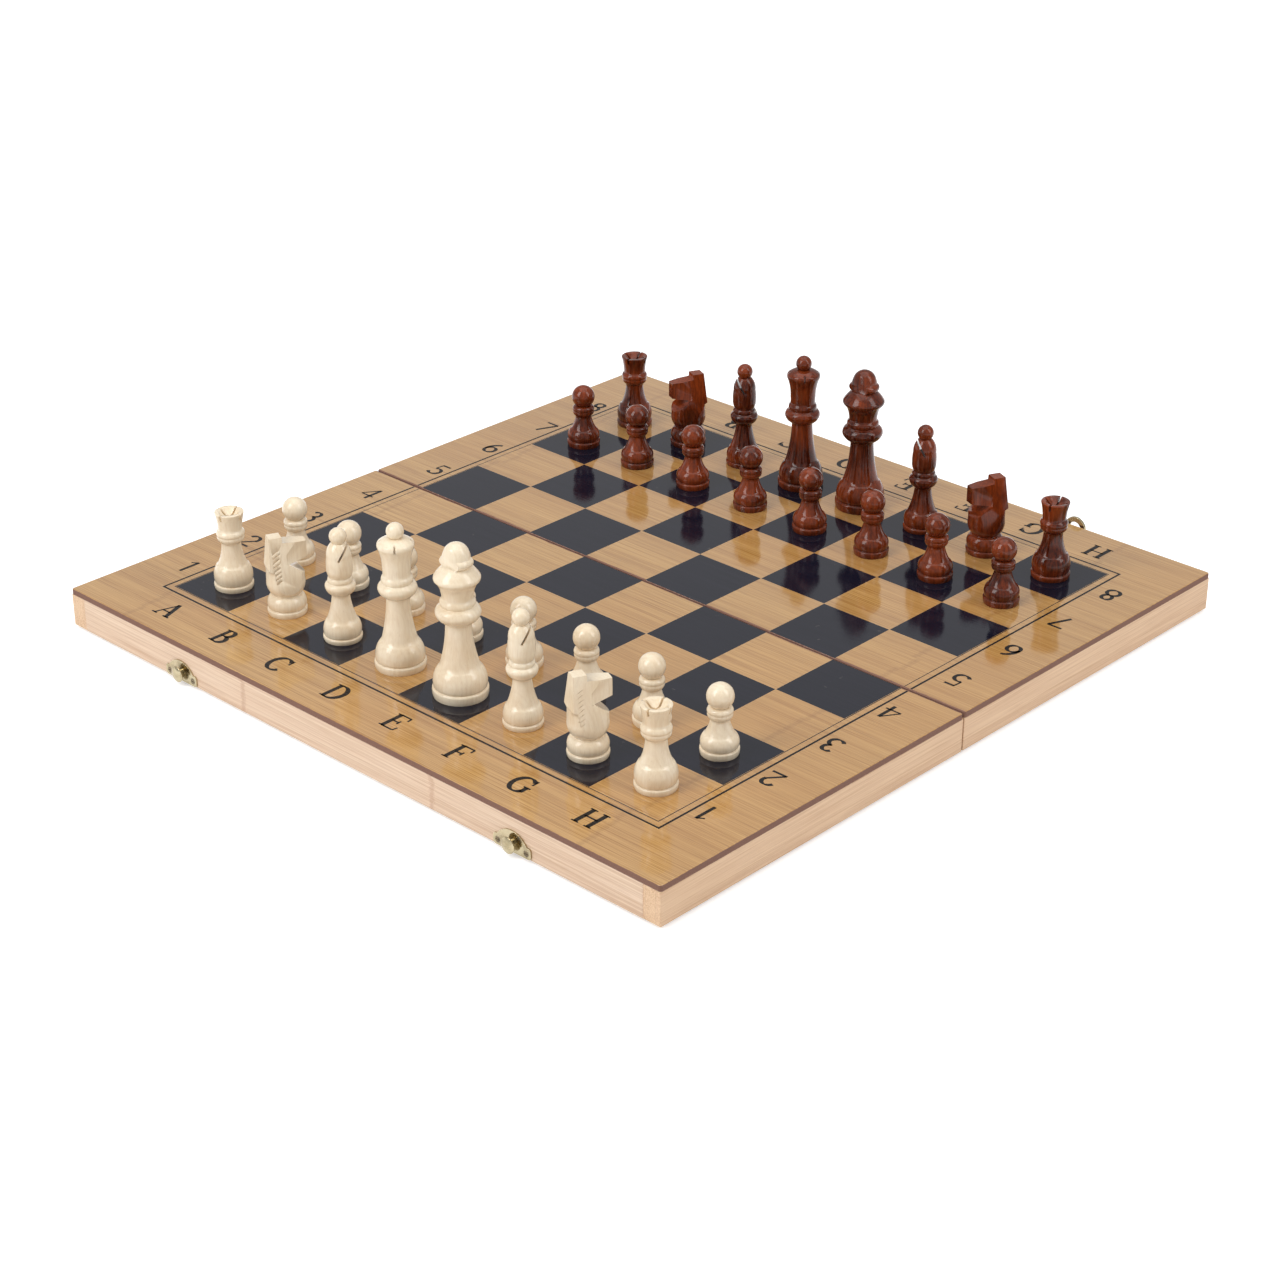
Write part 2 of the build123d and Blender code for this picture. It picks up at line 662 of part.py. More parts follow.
with BuildPart() as knight:
    add(turned(KNIGHT))
    head = outline_height(KNIGHT)
    muzzle_top = head - KNIGHT_EAR_H
    nose = muzzle_top - KNIGHT_NOSE_DROP
    chin = nose - KNIGHT_MUZZLE_H
    throat = chin - KNIGHT_JAW_DROP
    chest = throat - KNIGHT_CHEST_DROP
    clear = 2 * KNIGHT_CHEST_U
    with BuildSketch(Plane.XZ):
        with BuildLine():
            Polyline(
                (KNIGHT_EAR_U, head + KNIGHT_EAR_H),
                (KNIGHT_EAR_U, muzzle_top),
                (KNIGHT_MUZZLE_U, nose),
                (KNIGHT_MUZZLE_U, chin),
                (KNIGHT_JAW_U, throat),
                (KNIGHT_CHEST_U, chest),
                (clear, chest),
                (clear, head + KNIGHT_EAR_H),
                close=True,
            )
        make_face()
        with BuildLine():
            Polyline(
                (-KNIGHT_BACK_FOOT_U, KNIGHT_BACK_FOOT_Z),
                (-KNIGHT_BACK_TOP_U, head),
                (-clear, head),
                (-clear, KNIGHT_BACK_FOOT_Z),
                close=True,
            )
        make_face()
    extrude(amount=clear, both=True, mode=Mode.SUBTRACT)
    for side in (-1, 1):
        with BuildSketch(Plane.YZ):
            with BuildLine():
                Polyline(
                    (side * KNIGHT_CHEST_T / 2, KNIGHT_CHEST_Z),
                    (side * KNIGHT_TOP_T / 2, head),
                    (side * clear, head),
                    (side * clear, KNIGHT_CHEST_Z),
                    close=True,
                )
            make_face()
        extrude(amount=clear, both=True, mode=Mode.SUBTRACT)
        with BuildSketch(Plane.XY.offset(throat)):
            with BuildLine():
                Polyline(
                    (0, side * KNIGHT_CHEEK_T / 2),
                    (KNIGHT_MUZZLE_U, side * KNIGHT_MUZZLE_T / 2),
                    (clear, side * KNIGHT_MUZZLE_T / 2),
                    (clear, side * clear),
                    (0, side * clear),
                    close=True,
                )
            make_face()
        extrude(amount=head, mode=Mode.SUBTRACT)

with BuildPart() as pawn:
    add(turned(PAWN))
    with Locations((0, 0, outline_height(PAWN) + PAWN_BALL_R - PAWN_BALL_SINK)):
        Sphere(PAWN_BALL_R)

# The men on their squares
BACK_RANK = (
    ("rook", rook, 0),
    ("knight", knight, 90 - KNIGHT_TURN),
    ("bishop", bishop, BISHOP_TURN),
    ("queen", queen, 0),
    ("king", king, 0),
    ("bishop", bishop, BISHOP_TURN),
    ("knight", knight, 90 - KNIGHT_TURN),
    ("rook", rook, 0),
)
PAWN_RANK = (("pawn", pawn, 0),) * FILES
SET_UP = (
    ("white", 0, BACK_RANK, 0),
    ("white", 1, PAWN_RANK, 0),
    ("black", 2 * HALF_RANKS - 2, PAWN_RANK, 180),
    ("black", 2 * HALF_RANKS - 1, BACK_RANK, 180),
)
for colour, rank, row, about in SET_UP:
    for file, (kind, model, heading) in enumerate(row):
        name = f"{colour}_{kind}_{'abcdefgh'[file]}{rank + 1}"
        with BuildPart() as man:
            with Locations((*square_centre(file, rank), TOP_Z)):
                add(model.part, rotation=(0, 0, heading + about))
        man.part.label = name
        export_step(man.part, f"parts/{name}.step")
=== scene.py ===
"""Finish of the folding chess set: men, lacquered board, notation, brass fittings, light and camera."""
import json
import math

import bmesh
import bpy
import numpy as np
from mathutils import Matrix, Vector

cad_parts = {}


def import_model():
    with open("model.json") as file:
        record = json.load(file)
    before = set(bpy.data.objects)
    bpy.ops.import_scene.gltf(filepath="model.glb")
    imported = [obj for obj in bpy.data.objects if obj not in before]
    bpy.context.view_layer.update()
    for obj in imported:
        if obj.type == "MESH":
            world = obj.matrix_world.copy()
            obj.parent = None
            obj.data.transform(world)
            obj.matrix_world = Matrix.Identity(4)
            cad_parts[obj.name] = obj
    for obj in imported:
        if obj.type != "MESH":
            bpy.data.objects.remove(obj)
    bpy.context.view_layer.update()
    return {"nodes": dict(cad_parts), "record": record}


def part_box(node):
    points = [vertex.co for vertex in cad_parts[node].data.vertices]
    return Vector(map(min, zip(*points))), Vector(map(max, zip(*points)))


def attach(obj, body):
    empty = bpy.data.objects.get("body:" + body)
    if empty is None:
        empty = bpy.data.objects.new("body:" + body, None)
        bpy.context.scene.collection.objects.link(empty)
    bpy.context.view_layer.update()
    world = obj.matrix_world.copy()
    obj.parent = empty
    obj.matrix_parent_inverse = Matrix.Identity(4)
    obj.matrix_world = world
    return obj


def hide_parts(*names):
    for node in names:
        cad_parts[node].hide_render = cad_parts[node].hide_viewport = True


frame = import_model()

MM = 0.001

# Places read from the frame
PANEL_LOW, PANEL_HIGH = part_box("near_panel")
SQUARES_LOW, SQUARES_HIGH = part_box("near_dark_squares")
TOP_Z = PANEL_HIGH.z
HALF_WIDTH = PANEL_HIGH.x
HALF_DEPTH = -PANEL_LOW.y
SIDE_SQUARES = 8
MIDDLE = (SIDE_SQUARES - 1) / 2
SQUARE = (SQUARES_HIGH.x - SQUARES_LOW.x) / SIDE_SQUARES

# Camera fitted to the photograph's grid corners, lens and sensor in millimetres
CAMERA_PLACE = Vector((0.8355, -0.8851, 0.6130))
CAMERA_AIM = Vector((-0.61166, 0.64589, -0.45684))
CAMERA_LENS = 76.3
CAMERA_SENSOR = 36.0
IMAGE_RIGHT = Vector((0.726, 0.688, 0.0))

# Studio: floor in metres, strengths in shares of white
FLOOR_REACH = 4.0
FLOOR_DROP = 0.2 * MM
FLOOR_GLOW = (0.45, 0.85)
STUDIO_FILL = 0.36
STUDIO_MIRRORED = 0.60

# Turned wood: wave numbers in radians for each metre
RING_PITCH = 2600.0
TOOL_PITCH = 14000.0

# Printed notation
LETTER_HEIGHT = 13.0 * MM
DIGIT_HEIGHT = 12.5 * MM
DIGIT_WIDEN = 1.15
LETTER_INSET = 21.5 * MM
DIGIT_INSET = 23.0 * MM
PRINT_SHIFT = np.array([-1.5, -2.7]) * MM
PRINT_SINK = 0.03 * MM
PRINT_RISE = 0.02 * MM

# Shares of the letter height
STEM = 0.18
HAIR = 0.08
SERIF = 0.16
BAR = 0.065
ARC_POINTS = 33

# Gouged mane of the pale knights, in the man's own frame: u forward, v sideways, z up from the foot
KNIGHT_HEADING = math.radians(65)
SEAM_MARGIN = 0.75 * MM
MANE_POINTS = 9
MANE_ROWS = 8
MANE_BACK = -7.4 * MM
MANE_LENGTH = 4.4 * MM
MANE_RISE = 3.0 * MM
MANE_LOW = 17.0 * MM
MANE_STEP = 2.2 * MM
MANE_WIDTH = 0.18 * MM
MANE_DEPTH = 0.22 * MM
MANE_DIAMOND = ((0, 0, MANE_WIDTH), (0, MANE_DEPTH, 0), (0, 0, -MANE_WIDTH), (0, -MANE_DEPTH, 0))
FLANK_FOOT = 8.5 * MM
FLANK_FOOT_Z = 12.0 * MM
FLANK_SLOPE = 5.3 / 29.0

# Depths of the bumps
LACQUER_RELIEF = 0.008 * MM
RAIL_RELIEF = 0.06 * MM
MAN_RELIEF = 0.03 * MM
METAL_RELIEF = 0.004 * MM

# Edges of the finished pieces
MERGE = 0.002 * MM
RAIL_EASE = 0.3 * MM
METAL_EASE = 0.12 * MM
FLAT_ANGLE = math.radians(0.2)
SMOOTH_ANGLE = math.radians(34)
FLAT_PIECES = ("_panel", "_dark_squares", "_border_lines", "_rail")


# Mesh helpers

def new_object(name, mesh, body):
    """A piece at the origin that moves with a body."""
    piece = bpy.data.objects.new(name, mesh)
    bpy.context.scene.collection.objects.link(piece)
    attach(piece, body)
    return piece


def finished_copy(node, body, ease):
    """A CAD node's own mesh, merged and smoothed, with its sharp edges eased by a narrow bevel."""
    mesh = frame["nodes"][node].data.copy()
    mesh.materials.clear()
    work = bmesh.new()
    work.from_mesh(mesh)
    bmesh.ops.remove_doubles(work, verts=work.verts, dist=MERGE)
    bmesh.ops.dissolve_limit(work, angle_limit=FLAT_ANGLE, verts=work.verts, edges=work.edges)
    work.to_mesh(mesh)
    work.free()
    if node.endswith(FLAT_PIECES):
        mesh.shade_flat()
    else:
        mesh.shade_smooth()
        mesh.set_sharp_from_angle(angle=SMOOTH_ANGLE)
    piece = new_object(node + "_finished", mesh, body)
    if ease:
        bevel = piece.modifiers.new("eased edges", "BEVEL")
        bevel.width = ease
        bevel.segments = 2
        bevel.limit_method = "ANGLE"
        bevel.angle_limit = SMOOTH_ANGLE
        bevel.harden_normals = True
    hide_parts(node)
    return piece


# Notation: each sign is a few flat strokes whose width swells where they run upright

def line_stroke(x0, y0, x1, y1, width):
    """Straight stroke: points p(t) = a + t (b - a), constant width."""
    t = np.linspace(0, 1, 2)[:, None]
    points = (1 - t) * np.array([[x0, y0]]) + t * np.array([[x1, y1]])
    return points, np.full(2, width)


def arc_stroke(x, y, rx, ry, start, end, thick=STEM, thin=HAIR):
    """Elliptic stroke: p(a) = c + (rx cos a, ry sin a), width thick |cos a| + thin |sin a|."""
    a = np.radians(np.linspace(start, end, ARC_POINTS))
    points = np.stack([x + rx * np.cos(a), y + ry * np.sin(a)], axis=1)
    return points, thick * np.abs(np.cos(a)) + thin * np.abs(np.sin(a))


def stem(x):
    """Upright stem with a serif at foot and head."""
    return [
        line_stroke(x, 0, x, 1, STEM),
        line_stroke(x - SERIF, BAR / 2, x + SERIF, BAR / 2, BAR),
        line_stroke(x - SERIF, 1 - BAR / 2, x + SERIF, 1 - BAR / 2, BAR),
    ]


def hairs(*lines):
    """Thin straight strokes, each given by its two ends."""
    return [line_stroke(*ends, HAIR) for ends in lines]


def letter_strokes():
    """Strokes of the letters A to H, in shares of the letter height."""
    left, right = 0.17, 0.73
    return {
        "A": [line_stroke(0.40, 1, 0.76, 0, STEM)]
        + hairs(
            (0.10, 0, 0.41, 0.98), (0.20, 0.34, 0.62, 0.34),
            (-0.04, 0.02, 0.24, 0.02), (0.58, 0.02, 0.92, 0.02),
        ),
        "B": stem(left)
        + [arc_stroke(0.34, 0.755, 0.21, 0.225, -90, 90), arc_stroke(0.36, 0.275, 0.26, 0.255, -90, 90)]
        + hairs((left, 0.98, 0.35, 0.98), (left, 0.53, 0.37, 0.53), (left, 0.02, 0.37, 0.02)),
        "C": [arc_stroke(0.45, 0.5, 0.38, 0.485, 42, 318)] + hairs((0.76, 0.66, 0.76, 0.99)),
        "D": stem(left)
        + [arc_stroke(0.34, 0.5, 0.40, 0.48, -90, 90)]
        + hairs((left, 0.98, 0.35, 0.98), (left, 0.02, 0.35, 0.02)),
        "E": stem(left)
        + hairs(
            (left, 0.98, 0.66, 0.98), (left, 0.52, 0.50, 0.52), (left, 0.02, 0.70, 0.02),
            (0.66, 0.99, 0.67, 0.77), (0.50, 0.64, 0.50, 0.40), (0.70, 0.01, 0.74, 0.25),
        ),
        "F": stem(left)
        + hairs(
            (left, 0.98, 0.66, 0.98), (left, 0.52, 0.50, 0.52),
            (0.66, 0.99, 0.67, 0.77), (0.50, 0.64, 0.50, 0.40),
        ),
        "G": [arc_stroke(0.45, 0.5, 0.38, 0.485, 42, 318), line_stroke(0.74, 0.10, 0.74, 0.44, STEM)]
        + hairs((0.76, 0.66, 0.76, 0.99), (0.58, 0.44, 0.90, 0.44)),
        "H": stem(left) + stem(right) + hairs((left, 0.52, right, 0.52)),
    }


def digit_strokes():
    """Strokes of the digits 1 to 8, in shares of the digit height."""
    thick, mid, thin = 0.145, 0.11, 0.08
    return {
        "1": [line_stroke(0.32, 0, 0.32, 1, thick), line_stroke(0.33, 0.97, 0.10, 0.80, thin)],
        "2": [
            arc_stroke(0.28, 0.72, 0.22, 0.245, 165, -30, thick, thin),
            line_stroke(0.48, 0.62, 0.06, 0.06, mid),
            line_stroke(0.03, mid / 2, 0.60, mid / 2, mid),
        ],
        "3": [
            arc_stroke(0.27, 0.75, 0.19, 0.22, 150, -90, thick, thin),
            arc_stroke(0.27, 0.275, 0.24, 0.25, 90, -150, thick, thin),
        ],
        "4": [
            line_stroke(0.44, 0, 0.44, 1, thick),
            line_stroke(0.42, 0.98, 0.03, 0.31, thin),
            line_stroke(0.01, 0.30, 0.62, 0.30, thin),
        ],
        "5": [
            line_stroke(0.14, 0.955, 0.54, 0.955, mid),
            line_stroke(0.16, 0.97, 0.12, 0.54, thin),
            arc_stroke(0.26, 0.305, 0.25, 0.275, 120, -150, thick, thin),
        ],
        "6": [
            arc_stroke(0.31, 0.30, 0.23, 0.27, 0, 360, thick, thin),
            arc_stroke(0.60, 0.34, 0.52, 0.64, 184, 108, thick, thin),
        ],
        "7": [line_stroke(0.03, 0.955, 0.60, 0.955, mid), line_stroke(0.57, 0.95, 0.20, 0, thick)],
        "8": [
            arc_stroke(0.30, 0.755, 0.18, 0.215, 0, 360, thick, thin),
            arc_stroke(0.30, 0.275, 0.235, 0.25, 0, 360, thick, thin),
        ],
    }


def stroke_prism(points, widths, low, high):
    """Closed thin prism of a stroke: its middle line pushed half the width to each side."""
    along = np.gradient(points, axis=0)
    along = along / np.linalg.norm(along, axis=1)[:, None]
    side = np.stack([-along[:, 1], along[:, 0]], axis=1) * widths[:, None] / 2
    count = len(points)
    rims = [(points + side, high), (points - side, high), (points - side, low), (points + side, low)]
    corners = np.concatenate([np.column_stack([rim, np.full(count, z)]) for rim, z in rims])
    step = np.arange(count - 1)
    quads = [
        np.stack([a * count + step, b * count + step, b * count + step + 1, a * count + step + 1], axis=1)
        for a, b in ((0, 1), (1, 2), (2, 3), (3, 0))
    ]
    caps = np.arange(4) * count
    ends = np.stack([caps[::-1], caps + count - 1])
    return corners, np.concatenate(quads + [ends])


def placed_sign(strokes, height, place, shift, turned, widen=1.0):
    """A sign's strokes scaled to its height, centred on its place, and turned round where it faces away."""
    reach = np.concatenate([points for points, _ in strokes])
    middle = (reach.min(axis=0) + reach.max(axis=0)) / 2
    facing = -1 if turned else 1
    size = np.array([widen, 1.0]) * height * facing
    centre = np.array(place) + shift
    return [((points - middle) * size + centre, widths * height) for points, widths in strokes]


def notation(half, body):
    """All signs of one half: letters along its outer edge, digits along both sides."""
    far = half == "far"
    letters, digits = letter_strokes(), digit_strokes()
    shift = -PRINT_SHIFT if far else PRINT_SHIFT
    strokes = []
    for file, letter in enumerate(sorted(letters)):
        edge = (HALF_DEPTH - LETTER_INSET) * (1 if far else -1)
        strokes += placed_sign(letters[letter], LETTER_HEIGHT, ((file - MIDDLE) * SQUARE, edge), shift, far)
    for rank in range(4, 8) if far else range(4):
        for side in (-1, 1):
            place = (side * (HALF_WIDTH - DIGIT_INSET), (rank - MIDDLE) * SQUARE)
            strokes += placed_sign(digits[str(rank + 1)], DIGIT_HEIGHT, place, shift, side > 0, DIGIT_WIDEN)
    vertices, faces, base = [], [], 0
    for points, widths in strokes:
        corners, quads = stroke_prism(points, widths, TOP_Z - PRINT_SINK, TOP_Z + PRINT_RISE)
        vertices.append(corners)
        faces.append(quads + base)
        base += len(corners)
    mesh = bpy.data.meshes.new(half + "_notation")
    mesh.from_pydata(np.concatenate(vertices).tolist(), [], np.concatenate(faces).tolist())
    return new_object(half + "_notation", mesh, body)


# Shader helpers

class Shader:
    """Adds nodes to a tree; an input is either a constant or another node's output."""

    def __init__(self, tree):
        self.tree = tree

    def add(self, kind, inputs=None, **settings):
        node = self.tree.nodes.new(kind)
        for key, value in settings.items():
            setattr(node, key, value)
        for key, value in (inputs or {}).items():
            if isinstance(value, bpy.types.NodeSocket):
                self.tree.links.new(value, node.inputs[key])
            else:
                node.inputs[key].default_value = value
        return node

    def math(self, operation, a, b=0.0):
        return self.add("ShaderNodeMath", {0: a, 1: b}, operation=operation).outputs[0]

    def mix(self, factor, a, b):
        """Colour a to colour b by a factor; outputs the colour."""
        inputs = {0: factor, 6: a, 7: b}
        return self.add("ShaderNodeMix", inputs, data_type="RGBA").outputs[2]

    def band(self, value, low, high, start=0.0, end=1.0):
        """Smooth step of a value from low to high, between two results."""
        inputs = {"Value": value, "From Min": low, "From Max": high, "To Min": start, "To Max": end}
        return self.add("ShaderNodeMapRange", inputs, interpolation_type="SMOOTHSTEP").outputs[0]

    def noise(self, vector, scale, detail=2.0, roughness=0.5, distortion=0.0):
        inputs = {
            "Vector": vector, "Scale": scale, "Detail": detail,
            "Roughness": roughness, "Distortion": distortion,
        }
        return self.add("ShaderNodeTexNoise", inputs).outputs[0]

    def group(self, tree, **inputs):
        node = self.add("ShaderNodeGroup", node_tree=tree)
        for key, value in inputs.items():
            socket = node.inputs[key.replace("_", " ")]
            if isinstance(value, bpy.types.NodeSocket):
                self.tree.links.new(value, socket)
            else:
                socket.default_value = value
        return node.outputs


def new_group(name, inputs, outputs):
    """An empty node group with value outputs; returns its shader, its inputs and its end node."""
    tree = bpy.data.node_groups.new(name, "ShaderNodeTree")
    for label, kind in inputs:
        tree.interface.new_socket(label, in_out="INPUT", socket_type=kind)
    for label in outputs:
        tree.interface.new_socket(label, in_out="OUTPUT", socket_type="NodeSocketFloat")
    shader = Shader(tree)
    return shader, shader.add("NodeGroupInput").outputs, shader.add("NodeGroupOutput")


def fibre_group():
    """Wood fibre along X: fine streaks, slow figure and short pores."""
    value = "NodeSocketFloat"
    shader, given, end = new_group(
        "wood fibre",
        (("Vector", "NodeSocketVector"), ("Along", value), ("Across", value)),
        ("Streak", "Figure", "Pore"),
    )
    place = shader.add("ShaderNodeSeparateXYZ", {0: given["Vector"]}).outputs
    stretched = shader.add(
        "ShaderNodeCombineXYZ",
        {
            0: shader.math("MULTIPLY", place[0], given["Along"]),
            1: shader.math("MULTIPLY", place[1], given["Across"]),
            2: shader.math("MULTIPLY", place[2], given["Across"]),
        },
    ).outputs[0]
    streak = shader.noise(stretched, 1.0, 4.0, 0.62)
    figure = shader.noise(stretched, 0.11, 3.0, 0.5, 0.4)
    pore = shader.noise(stretched, 2.3, 1.0, 0.4)
    shader.tree.links.new(shader.band(streak, 0.3, 0.7), end.inputs["Streak"])
    shader.tree.links.new(shader.band(figure, 0.32, 0.68), end.inputs["Figure"])
    shader.tree.links.new(shader.band(pore, 0.62, 0.74), end.inputs["Pore"])
    return shader.tree


def strip_group():
    """Bamboo strips along X: a tone for each strip, thin joints between them and the stalk's node marks."""
    value = "NodeSocketFloat"
    shader, given, end = new_group(
        "bamboo strips",
        (("Vector", "NodeSocketVector"), ("Width", value), ("Spacing", value)),
        ("Tone", "Joint", "Node"),
    )
    place = shader.add("ShaderNodeSeparateXYZ", {0: given["Vector"]}).outputs
    count = shader.math("DIVIDE", place[1], given["Width"])
    strip = shader.math("FLOOR", count)
    inside = shader.math("FRACT", count)
    tone = shader.add("ShaderNodeTexWhiteNoise", {"W": strip}, noise_dimensions="1D").outputs["Value"]
    from_edge = shader.math("MINIMUM", inside, shader.math("SUBTRACT", 1.0, inside))
    ragged = shader.math("MULTIPLY", shader.noise(given["Vector"], 900.0, 2.0), 0.004)
    shifted = shader.math("ADD", shader.math("ADD", place[0], ragged), shader.math("MULTIPLY", tone, 0.004))
    along = shader.math("FRACT", shader.math("DIVIDE", shifted, given["Spacing"]))
    off_middle = shader.math("ABSOLUTE", shader.math("SUBTRACT", along, 0.5))
    from_node = shader.math("MULTIPLY", off_middle, given["Spacing"])
    shader.tree.links.new(tone, end.inputs["Tone"])
    shader.tree.links.new(shader.band(from_edge, 0.0, 0.03, 1.0, 0.0), end.inputs["Joint"])
    shader.tree.links.new(shader.band(from_node, 0.0006, 0.0022, 1.0, 0.0), end.inputs["Node"])
    return shader.tree


def edge_group():
    """Rubbed edges: how far the normal swings within a radius, broken up by a fine noise."""
    shader, given, end = new_group(
        "rubbed edges", (("Vector", "NodeSocketVector"), ("Radius", "NodeSocketFloat")), ("Edge", "Rub")
    )
    rounded = shader.add("ShaderNodeBevel", {"Radius": given["Radius"]}, samples=6).outputs[0]
    plain = shader.add("ShaderNodeNewGeometry").outputs["Normal"]
    both = {0: rounded, 1: plain}
    swing = shader.add("ShaderNodeVectorMath", both, operation="DOT_PRODUCT").outputs["Value"]
    edge = shader.band(swing, 0.80, 0.99, 1.0, 0.0)
    broken = shader.band(shader.noise(given["Vector"], 700.0, 3.0), 0.42, 0.62)
    shader.tree.links.new(edge, end.inputs["Edge"])
    shader.tree.links.new(shader.math("MULTIPLY", edge, broken), end.inputs["Rub"])
    return shader.tree


def film_group():
    """Uneven lacquer: slow waves, and marks left by handling."""
    shader, given, end = new_group("lacquer film", (("Vector", "NodeSocketVector"),), ("Wave", "Smear"))
    shader.tree.links.new(shader.noise(given["Vector"], 60.0, 2.0), end.inputs["Wave"])
    smear = shader.band(shader.noise(given["Vector"], 140.0, 4.0, 0.65), 0.45, 0.75)
    shader.tree.links.new(smear, end.inputs["Smear"])
    return shader.tree


FIBRE = fibre_group()
STRIPS = strip_group()
EDGES = edge_group()
FILM = film_group()


def new_material(name, **constants):
    """A material with one principled shader whose plain values are set on its own sockets."""
    material = bpy.data.materials.new(name)
    material.use_nodes = True
    material.node_tree.nodes.clear()
    shader = Shader(material.node_tree)
    surface = shader.add("ShaderNodeBsdfPrincipled")
    for key, value in constants.items():
        surface.inputs[key.replace("_", " ")].default_value = value
    shader.add("ShaderNodeOutputMaterial", {"Surface": surface.outputs[0]})
    return material, shader, surface.inputs


def object_place(shader, turn=(0.0, 0.0, 0.0)):
    """Object coordinates, turned so that the wood's fibre runs along X."""
    place = shader.add("ShaderNodeTexCoord").outputs["Object"]
    return shader.add("ShaderNodeMapping", {"Vector": place, "Rotation": turn}).outputs[0]


def bump(shader, surface, height, distance):
    """Bump of a height map on the surface's normal."""
    node = shader.add("ShaderNodeBump", {"Height": height, "Distance": distance, "Strength": 1.0})
    shader.tree.links.new(node.outputs[0], surface["Normal"])


def feed(shader, surface, **sockets):
    """Links outputs to the surface's sockets."""
    for key, value in sockets.items():
        shader.tree.links.new(value, surface[key.replace("_", " ")])


def veneer_material():
    """Lacquered bamboo veneer on top, bare brown fibreboard on the panel's edges and underside."""
    material, shader, surface = new_material("lacquered_veneer", Coat_Roughness=0.06)
    place = object_place(shader)
    fibre = shader.group(FIBRE, Vector=place, Along=16.0, Across=2000.0)
    strips = shader.group(STRIPS, Vector=place, Width=0.0135, Spacing=0.31)
    film = shader.group(FILM, Vector=place)
    cloud = shader.band(shader.noise(place, 9.0, 3.0), 0.35, 0.7)
    wood = shader.mix(fibre["Streak"], (0.310, 0.140, 0.033, 1), (0.600, 0.348, 0.118, 1))
    wood = shader.mix(shader.math("MULTIPLY", fibre["Figure"], 0.45), wood, (0.60, 0.355, 0.125, 1))
    wood = shader.mix(shader.math("MULTIPLY", strips["Tone"], 0.30), wood, (0.35, 0.170, 0.050, 1))
    wood = shader.mix(shader.math("MULTIPLY", cloud, 0.28), wood, (0.47, 0.220, 0.055, 1))
    wood = shader.mix(shader.math("MULTIPLY", fibre["Pore"], 0.40), wood, (0.15, 0.055, 0.012, 1))
    wood = shader.mix(shader.math("MULTIPLY", strips["Node"], 0.22), wood, (0.22, 0.090, 0.022, 1))
    crumbs = shader.noise(place, 1800.0, 4.0, 0.7)
    board = shader.mix(crumbs, (0.100, 0.042, 0.027, 1), (0.28, 0.140, 0.095, 1))
    axes = shader.add("ShaderNodeSeparateXYZ", {0: place}).outputs
    rough_rim = shader.math("MULTIPLY", shader.noise(place, 400.0, 3.0), 0.3 * MM)
    height = shader.math("ADD", axes[2], rough_rim)
    flat = shader.band(height, TOP_Z - 0.10 * MM, TOP_Z + 0.05 * MM)
    chips = shader.math("MULTIPLY", shader.noise(place, 120.0, 4.0, 0.65), 1.4 * MM)
    from_seam = shader.math("ADD", shader.math("ABSOLUTE", axes[1]), chips)
    on_top = shader.math("MULTIPLY", flat, shader.band(from_seam, 1.9 * MM, 2.4 * MM))
    edges = shader.group(EDGES, Vector=place, Radius=0.0008)
    colour = shader.mix(on_top, board, wood)
    colour = shader.mix(shader.math("MULTIPLY", edges["Rub"], 0.35), colour, (0.62, 0.50, 0.42, 1))
    gloss = shader.math("ADD", 0.07, shader.math("MULTIPLY", film["Smear"], 0.05))
    bare = shader.band(on_top, 0.0, 1.0, 0.75, 0.0)
    rough = shader.math("MAXIMUM", gloss, bare)
    lacquer = shader.math("MULTIPLY", on_top, 0.9)
    feed(shader, surface, Base_Color=colour, Roughness=rough, Coat_Weight=lacquer)
    relief = shader.math("ADD", shader.math("MULTIPLY", fibre["Streak"], 0.6), film["Wave"])
    bump(shader, surface, relief, LACQUER_RELIEF)
    return material


def inlay_material():
    """Glossy black stain with the veneer's grain just showing."""
    material, shader, surface = new_material("black_stain", Specular_IOR_Level=0.36)
    place = object_place(shader)
    fibre = shader.group(FIBRE, Vector=place, Along=14.0, Across=1500.0)
    film = shader.group(FILM, Vector=place)
    colour = shader.mix(fibre["Streak"], (0.004, 0.005, 0.012, 1), (0.010, 0.010, 0.020, 1))
    speck = shader.band(shader.noise(place, 260.0, 2.0), 0.74, 0.78)
    colour = shader.mix(shader.math("MULTIPLY", speck, 0.4), colour, (0.09, 0.08, 0.075, 1))
    gloss = shader.math("ADD", 0.04, shader.math("MULTIPLY", film["Smear"], 0.05))
    feed(shader, surface, Base_Color=colour, Roughness=gloss)
    relief = shader.math("ADD", shader.math("MULTIPLY", fibre["Streak"], 0.6), film["Wave"])
    bump(shader, surface, relief, LACQUER_RELIEF)
    return material


def ink_material():
    """Flat black print of the frame lines and the notation."""
    material, shader, surface = new_material("black_print", Specular_IOR_Level=0.2)
    place = object_place(shader)
    fibre = shader.group(FIBRE, Vector=place, Along=14.0, Across=1500.0)
    colour = shader.mix(fibre["Streak"], (0.005, 0.004, 0.004, 1), (0.013, 0.010, 0.009, 1))
    rough = shader.math("ADD", 0.25, shader.math("MULTIPLY", fibre["Streak"], 0.1))
    feed(shader, surface, Base_Color=colour, Roughness=rough)
    return material


